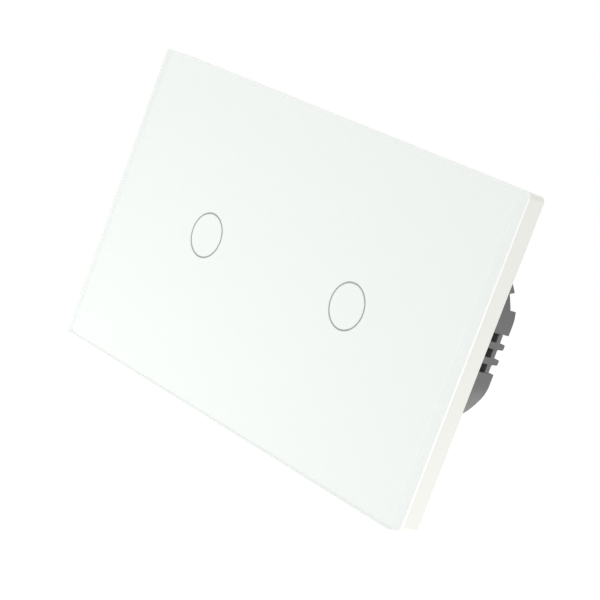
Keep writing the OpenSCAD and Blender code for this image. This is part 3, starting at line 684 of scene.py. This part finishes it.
screw_steel = plated("screw_steel", (0.55, 0.56, 0.57), 0.3)
low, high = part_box("housing_screws")
shaft_d, head_d, head_h, pitch = 0.0025, 0.0044, 0.0015, 0.001
one = cross_screw(shaft_d, high[1] - low[1] - head_h, head_d, head_h, pitch)
shape = bmesh.new()
for side in (-1, 1):
    x, z = side * (high[0] - head_d / 2), side * (high[2] - head_d / 2)
    gather(shape, one, Matrix.Translation((x, low[1], z)))
one.free()
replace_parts(add_piece("long_screws", shape, screw_steel, "module"), "housing_screws")

low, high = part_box("board_screws")
shaft_d, head_d, head_h, pitch = 0.0022, 0.0042, 0.0014, 0.0009
one = cross_screw(shaft_d, high[1] - low[1] - head_h, head_d, head_h, pitch)
shape = bmesh.new()
for side in (-1, 1):
    x, z = side * (high[0] - head_d / 2), -side * (high[2] - head_d / 2)
    gather(shape, one, Matrix.Translation((x, high[1], z)) @ Matrix.Rotation(math.pi, 4, "X"))
one.free()
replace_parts(add_piece("short_screws", shape, screw_steel, "module"), "board_screws")

shaft_d, head_d, head_h, pitch = 0.0016, 0.0025, 0.0011, 0.00035
slot_w, slot_depth = 0.0005, 0.00055
for number in ("1", "2", "3"):
    low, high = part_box("terminal_screw_" + number)
    shank = high[1] - low[1] - head_h
    one = slotted_screw(shaft_d, shank, head_d, head_h, pitch, slot_w, slot_depth)
    bmesh.ops.translate(one, verts=one.verts, vec=((low[0] + high[0]) / 2, low[1], (low[2] + high[2]) / 2))
    clamp_screw = add_piece("clamp_screw_" + number, one, screw_steel, "screw_" + number)
    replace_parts(clamp_screw, "terminal_screw_" + number)

# Contact bars: pressed brass strips that run from the terminals down to the power board and are
# soldered into it.
dress(
    moulded("pressed_brass", (0.66, 0.47, 0.18), 0.32, mottle=0.12, grain=2500.0, depth=0.1, metallic=1),
    "contact_bar_1", "contact_bar_2", "contact_bar_3",
)

# Panel frame: a warm white moulding behind the glass, with a flange for the glue, a side wall and the
# hooks that snap into the mounting plate.
dress(
    moulded(
        "frame_warm_white", (0.742, 0.752, 0.703), 0.42, mottle=0.03, grain=4500.0, depth=0.2, wear_and_highlight=0.04,
    ),
    "panel_frame",
)

# White print and ring lines: opaque white paint on the back of the glass, which leaves two fine ring
# lines open. A ring on each grey diffuser disc fills its line, and carries the light of the indicator.
# Paint and rings reach a hair into the glass, because they are in contact with it.
into_glass = 0.00005
print_white = moulded(
    "white_print", (0.905, 0.913, 0.902), 0.5, mottle=0.006, grain=3000.0, depth=0.0, wear_and_highlight=0.0,
)
print_low, print_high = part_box("backing_sheet")
print_front, print_back = print_low[1], print_high[1]
shape = bmesh.new()
shape.from_mesh(nodes["backing_sheet"].data)
bmesh.ops.remove_doubles(shape, verts=shape.verts, dist=1e-7)
front_verts = [vert for vert in shape.verts if vert.co.y < print_front + 1e-6]
bmesh.ops.translate(shape, verts=front_verts, vec=(0, -into_glass, 0))
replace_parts(add_piece("white_print", shape, print_white, "front_panel"), "backing_sheet")

ring_r, ring_line = 0.0051, 0.00034
inner, outer = ring_r - ring_line / 2, ring_r + ring_line / 2
diffuser_grey = moulded("diffuser_grey", (0.35, 0.355, 0.35), 0.4, depth=0.05)
dress(diffuser_grey, "diffuser_left", "diffuser_right")
for side in ("left", "right"):
    low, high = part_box("diffuser_" + side)
    front, back = print_front - into_glass, low[1]
    shape = bmesh.new()
    centre = ((low[0] + high[0]) / 2, 0, (low[2] + high[2]) / 2)
    section = [(inner, front), (outer, front), (outer, back), (inner, back), (inner, front)]
    lathe(shape, centre, section, steps=96)
    bmesh.ops.recalc_face_normals(shape, faces=shape.faces)
    add_piece("ring_line_" + side, shape, diffuser_grey, "front_panel")

# Glue bead: white adhesive that fills the groove between the glass's rear chamfer and the frame, all round
# the printed sheet, and is wiped off flush with the sides. Its white is partly painted highlight: it stands
# for the light caught along the frame's lip and the glass's rear chamfer, and it covers the shade in the
# groove.
glue_white_and_painted_highlight, tree, shader = finish("glue_white_and_painted_highlight")
where = place(tree, "ShaderNodeTexCoord")
streaks = place(tree, "ShaderNodeTexNoise", {"Scale": 350, "Detail": 3})
streak_tone = place(tree, "ShaderNodeMapRange", {"To Min": 0.97, "To Max": 1.03})
# The bead's near-white is partly the glue's colour, partly painted highlight along the joint.
tint = place(tree, "ShaderNodeHueSaturation", {"Color": (0.905, 0.911, 0.897, 1)})
ripple = place(tree, "ShaderNodeBump", {"Strength": 0.1, "Distance": 0.00002})
join(
    tree,
    where.outputs["Object"], streaks.inputs["Vector"],
    streaks.outputs["Fac"], streak_tone.inputs["Value"],
    streak_tone.outputs[0], tint.inputs["Value"],
    tint.outputs[0], shader.inputs["Base Color"],
    streaks.outputs["Fac"], ripple.inputs["Height"],
    ripple.outputs[0], shader.inputs["Normal"],
)
shader.inputs["Roughness"].default_value = 0.35
glass_low, glass_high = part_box("glass_panel")
bead_w, corner_r, chamfer = 0.0004, 0.0012, 0.00035
lie = Matrix.Translation((0, glass_high[1] - chamfer, 0)) @ Matrix.Rotation(math.radians(90), 4, "X")
sheet_size = Matrix.Diagonal((glass_high[0], glass_high[2], 1, 1))
shape = bmesh.new()
bmesh.ops.create_grid(shape, x_segments=1, y_segments=1, size=1, matrix=lie @ sheet_size)
bmesh.ops.bevel(
    shape, geom=shape.verts[:], offset=corner_r, segments=8, profile=0.5, affect="VERTICES", material=-1,
)
middle = shape.faces[:]
bmesh.ops.inset_region(
    shape, faces=middle, thickness=bead_w, depth=into_glass - chamfer,
    use_boundary=True, use_even_offset=True,
)
bmesh.ops.delete(shape, geom=middle, context="FACES")
back = bmesh.ops.extrude_face_region(shape, geom=shape.faces[:], use_keep_orig=True)["geom"]
for vert in of_kind(back, bmesh.types.BMVert):
    vert.co.y = print_back
bmesh.ops.recalc_face_normals(shape, faces=shape.faces)
add_piece("glue_bead_painted_highlight", shape, glue_white_and_painted_highlight, "front_panel")

# Glass panel: toughened float glass, clear with a trace of green, with ground edges and chamfers. Lamp
# light and scattered light go straight through it to the sheet.
ground_w, ground_roughness = 0.00036, 0.3
crystal, tree, shader = finish("float_glass")
shader.inputs["Base Color"].default_value = (0.985, 1, 0.99, 1)
shader.inputs["Transmission Weight"].default_value = 1
shader.inputs["IOR"].default_value = 1.5
polished = reckon(
    tree, "MULTIPLY",
    within(tree, "X", glass_low[0] + ground_w, glass_high[0] - ground_w),
    within(tree, "Z", glass_low[2] + ground_w, glass_high[2] - ground_w),
)
ground_edge = reckon(tree, "SUBTRACT", 1, polished)
clear = place(tree, "ShaderNodeBsdfTransparent", {"Color": (0.96, 0.985, 0.97, 1)})
path = place(tree, "ShaderNodeLightPath")
straight_on = reckon(tree, "MAXIMUM", path.outputs["Is Shadow Ray"], path.outputs["Is Diffuse Ray"])
either = place(tree, "ShaderNodeMixShader")
join(
    tree,
    reckon(tree, "MULTIPLY", ground_edge, ground_roughness), shader.inputs["Roughness"],
    straight_on, either.inputs["Fac"],
    shader.outputs[0], either.inputs[1],
    clear.outputs[0], either.inputs[2],
    either.outputs[0], tree.nodes["Material Output"].inputs["Surface"],
)
dress(crystal, "glass_panel")
